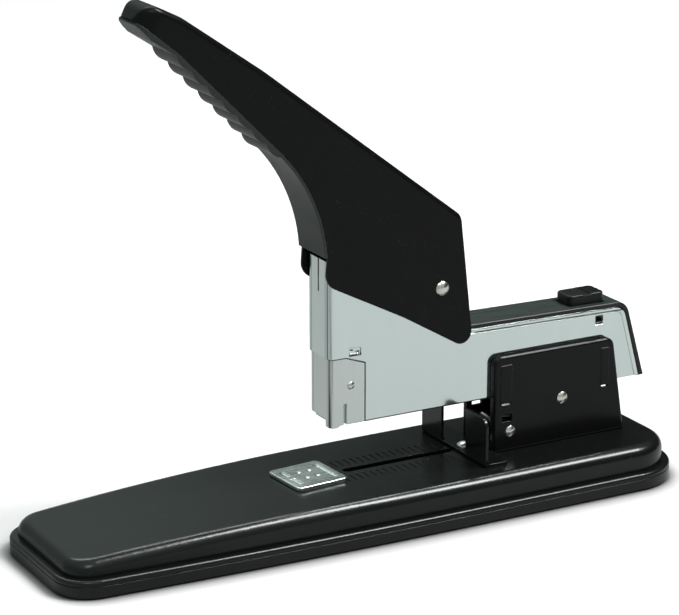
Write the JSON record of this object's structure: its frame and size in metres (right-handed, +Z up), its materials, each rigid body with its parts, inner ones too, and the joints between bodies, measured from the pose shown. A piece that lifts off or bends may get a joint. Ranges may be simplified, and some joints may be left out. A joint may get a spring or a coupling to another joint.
{
  "type": "heavy duty desk stapler",
  "caption": "Desk stapler with a long raised lever handle, a sprung chrome magazine body on a rear bracket, and a low painted base with a sliding paper guide and turning anvil.",
  "frame": {"origin": "centre of the base's underside, on the table", "axes": "+Z up, +X to the rear where the bracket stands, -X to the round nose of the base, Y across"},
  "size_m": [0.29, 0.0818, 0.2244],
  "materials": {
    "painted_steel": "black stove enamel, semi-gloss",
    "tray_plastic": "black, satin",
    "mat_rubber": "dark grey, matt, non-slip",
    "bright_nickel": "bright nickel plate",
    "rivet_steel": "nickel plated, riveted",
    "zinc_steel": "bright zinc plate",
    "hard_steel": "hardened, ground",
    "spring_steel": "drawn wire",
    "staple_wire": "galvanised staple wire",
    "strip_plastic": "black, fine satin",
    "grip_plastic": "charcoal grey, satin",
    "pusher_plastic": "natural acetal"
  },
  "bodies": {
    "base": {"base_mat": "mat_rubber", "base_tray": "tray_plastic", "base_cover": "painted_steel", "base_screws": "zinc_steel", "rear_bracket": "painted_steel", "bracket_screws": "zinc_steel", "bracket_nuts": "zinc_steel", "pivot_pin": "rivet_steel", "pivot_washers": "zinc_steel", "stop_rivet": "rivet_steel", "tilt_spring": "spring_steel"},
    "anvil": {"anvil_plate": "bright_nickel", "anvil_pin": "rivet_steel", "anvil_clip": "zinc_steel", "anvil_spring": "spring_steel"},
    "paper_guide": {"guide_plate": "painted_steel", "guide_rivet": "rivet_steel", "guide_slider": "zinc_steel"},
    "body": {"body_frame": "bright_nickel", "top_cover": "strip_plastic", "spring_seat": "zinc_steel", "handle_rivet": "rivet_steel", "driver_spring": "spring_steel", "latch_plate": "zinc_steel", "button_spring": "spring_steel"},
    "handle": {"handle_shell": "painted_steel", "handle_insert": "grip_plastic", "press_lever": "zinc_steel", "lever_pin": "rivet_steel"},
    "driver": {"driver_block": "zinc_steel", "driver_blade": "hard_steel", "blade_rivets": "rivet_steel"},
    "magazine": {"magazine_channel": "zinc_steel", "magazine_nose": "bright_nickel", "nose_rivets": "rivet_steel", "staple_rail": "zinc_steel", "staple_strip": "staple_wire", "pusher_rod": "zinc_steel", "pusher_spring": "spring_steel"},
    "pusher": {"pusher_block": "pusher_plastic"},
    "button": {"release_button": "strip_plastic", "latch_stem": "zinc_steel"}
  },
  "joints": [
    {"name": "body_tilt", "type": "hinge", "parent": "base", "child": "body", "pos_m": [0.0957, 0, 0.0377], "axis": [0, -1, 0], "range_deg": [0, 10.8], "stiffness_Nm_per_rad": 8, "springref_deg": -9.17, "deforming": ["tilt_spring"]},
    {"name": "handle_press", "type": "hinge", "parent": "body", "child": "handle", "pos_m": [0.0363, 0, 0.0948], "axis": [0, -1, 0], "range_deg": [0, 36], "stiffness_Nm_per_rad": 2, "springref_deg": -20.05},
    {"name": "driver_slide", "type": "slide", "parent": "body", "child": "driver", "axis": [0, 0, -1], "range_m": [0, 0.028], "deforming": ["driver_spring"]},
    {"name": "magazine_slide", "type": "slide", "parent": "body", "child": "magazine", "axis": [1, 0, 0], "range_m": [-0.09, 0]},
    {"name": "pusher_slide", "type": "slide", "parent": "magazine", "child": "pusher", "axis": [1, 0, 0], "range_m": [0, 0.04], "stiffness_N_per_m": 40, "springref_m": -0.03, "deforming": ["pusher_spring"]},
    {"name": "button_push", "type": "slide", "parent": "body", "child": "button", "axis": [0, 0, -1], "range_m": [0, 0.0015], "stiffness_N_per_m": 400, "springref_m": -0.001, "deforming": ["button_spring"]},
    {"name": "guide_slide", "type": "slide", "parent": "base", "child": "paper_guide", "axis": [-1, 0, 0], "range_m": [0, 0.05]},
    {"name": "anvil_turn", "type": "hinge", "parent": "base", "child": "anvil", "pos_m": [-0.021, 0, 0.0183], "axis": [0, 0, 1], "continuous": true}
  ],
  "couplings": [
    {"joint": "driver_slide", "follows": "handle_press", "m_per_rad": 0.044086}
  ]
}
